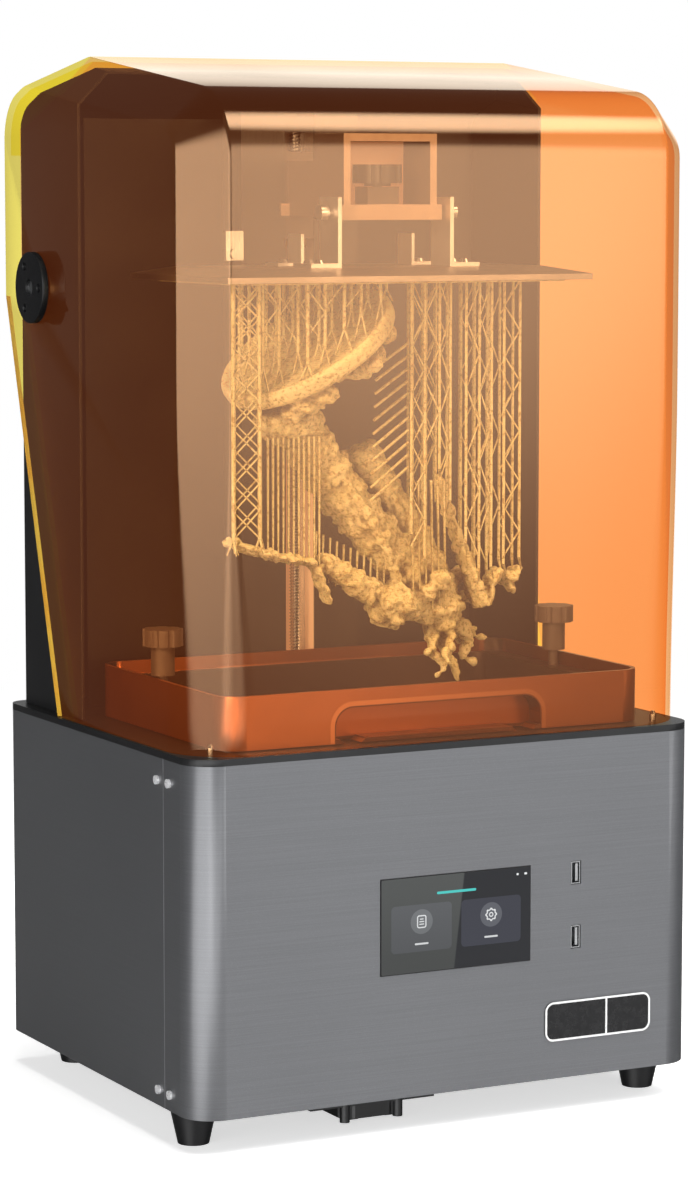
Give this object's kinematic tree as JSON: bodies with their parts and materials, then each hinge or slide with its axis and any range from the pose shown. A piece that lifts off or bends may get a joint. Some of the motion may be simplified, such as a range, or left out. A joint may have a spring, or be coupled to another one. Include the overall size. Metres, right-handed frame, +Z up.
{
  "type": "resin 3d printer",
  "caption": "Mask-screen resin printer: grey sheet-metal base, amber flip-up canopy, vat, and a build plate on a vertical lift.",
  "frame": {"origin": "on the floor, midway between the sides and midway between the front and rear faces of the base", "axes": "+X to the right of someone facing the touch screen, +Y to the rear, +Z up"},
  "size_m": [0.339, 0.2781, 0.624],
  "materials": {
    "shell_paint": "fine metallic grey paint, satin",
    "black_paint": "black powder coat, satin",
    "black_plastic": "moulded black plastic",
    "screen_black": "gloss black touch glass",
    "amber_acrylic": "clear amber acrylic",
    "steel": "plain steel",
    "aluminium": "plain aluminium",
    "plate_metal": "fine sandblasted aluminium",
    "brass": "plain brass",
    "board": "green circuit board",
    "clear": "clear film or lens",
    "mask_dark": "dark mask screen",
    "led_white": "white emitter board",
    "rocker_red": "red switch rocker",
    "print_resin": "cured tan resin"
  },
  "bodies": {
    "printer": {"front_shell": "shell_paint", "rear_shell": "shell_paint", "bottom_plate": "black_paint", "seam_posts": "steel", "side_screws": "steel", "feet": "black_plastic", "foot_screws": "steel", "top_deck": "black_paint", "screen_glass": "screen_black", "screen_module": "steel", "data_sockets": "steel", "socket_board": "board", "badge_plate": "black_plastic", "mainboard": "board", "power_supply": "aluminium", "power_inlet": "black_plastic", "switch_frame": "black_plastic", "rear_fan_frame": "black_plastic", "underside_fan_frame": "black_plastic", "light_housing": "aluminium", "light_stands": "steel", "led_array": "led_white", "reflector_plate": "aluminium", "fresnel_lens": "clear", "heatsink": "aluminium", "mask_panel": "mask_dark", "mask_glass": "mask_dark", "mask_frame": "black_paint", "deck_pins": "steel", "knob_bushes": "brass", "tower_shell": "black_paint", "tower_panel": "black_paint", "z_column": "black_paint", "guide_rails": "steel", "stepper_motor": "black_plastic", "top_bearing": "black_plastic", "limit_switch": "steel", "hinge_pins": "steel"},
    "lid": {"canopy": "amber_acrylic", "hinge_covers": "black_plastic"},
    "vat": {"vat_tank": "black_paint", "vat_film": "clear", "film_frame": "aluminium"},
    "left_knob": {"vat_knob_left": "black_plastic"},
    "right_knob": {"vat_knob_right": "black_plastic"},
    "lift": {"lift_block": "aluminium", "lift_nut": "brass", "lift_arm": "aluminium", "pivot_rod": "steel"},
    "star_knob": {"clamp_knob": "black_plastic"},
    "platform": {"build_plate": "plate_metal", "plate_brackets": "aluminium", "plate_screws": "steel", "sample_print": "print_resin"},
    "drive_screw": {"lead_screw": "steel", "screw_coupler": "aluminium", "motor_rotor": "steel"},
    "rocker": {"power_rocker": "rocker_red"},
    "rear_fan": {"rear_fan_rotor": "black_plastic"},
    "underside_fan": {"underside_fan_rotor": "black_plastic"}
  },
  "joints": [
    {"name": "lid_hinge", "type": "hinge", "parent": "printer", "child": "lid", "pos_m": [0, 0.088, 0.4863], "axis": [-1, 0, 0], "range_deg": [0, 85]},
    {"name": "lift_travel", "type": "slide", "parent": "printer", "child": "lift", "axis": [0, 0, 1], "range_m": [-0.2585, 0.008], "deforming": ["sample_print"]},
    {"name": "drive_screw_spin", "type": "hinge", "parent": "printer", "child": "drive_screw", "pos_m": [0, 0.068, 0.3], "axis": [0, 0, 1], "range_deg": [-23400, 800]},
    {"name": "plate_level", "type": "hinge", "parent": "lift", "child": "platform", "pos_m": [0, -0.0535, 0.532], "axis": [1, 0, 0], "range_deg": [-1, 1]},
    {"name": "clamp_knob_turn", "type": "hinge", "parent": "lift", "child": "star_knob", "pos_m": [0, -0.041, 0.54], "axis": [0, 0, 1], "continuous": true},
    {"name": "vat_lift_out", "type": "slide", "parent": "printer", "child": "vat", "axis": [0, 0, 1], "range_m": [0, 0.014]},
    {"name": "left_knob_turn", "type": "hinge", "parent": "vat", "child": "left_knob", "pos_m": [-0.1332, -0.024, 0.25], "axis": [0, 0, 1], "continuous": true},
    {"name": "right_knob_turn", "type": "hinge", "parent": "vat", "child": "right_knob", "pos_m": [0.1332, -0.024, 0.25], "axis": [0, 0, 1], "continuous": true},
    {"name": "power_rocker_tip", "type": "hinge", "parent": "printer", "child": "rocker", "pos_m": [-0.078, 0.135, 0.055], "axis": [0, 0, 1], "range_deg": [-14, 0]},
    {"name": "rear_fan_spin", "type": "hinge", "parent": "printer", "child": "rear_fan", "pos_m": [0.092, 0.12, 0.145], "axis": [0, 1, 0], "continuous": true},
    {"name": "underside_fan_spin", "type": "hinge", "parent": "printer", "child": "underside_fan", "pos_m": [-0.039, -0.091, 0.012], "axis": [0, 0, 1], "continuous": true}
  ],
  "couplings": [
    {"joint": "drive_screw_spin", "follows": "lift_travel", "rad_per_m": 1570.8}
  ]
}
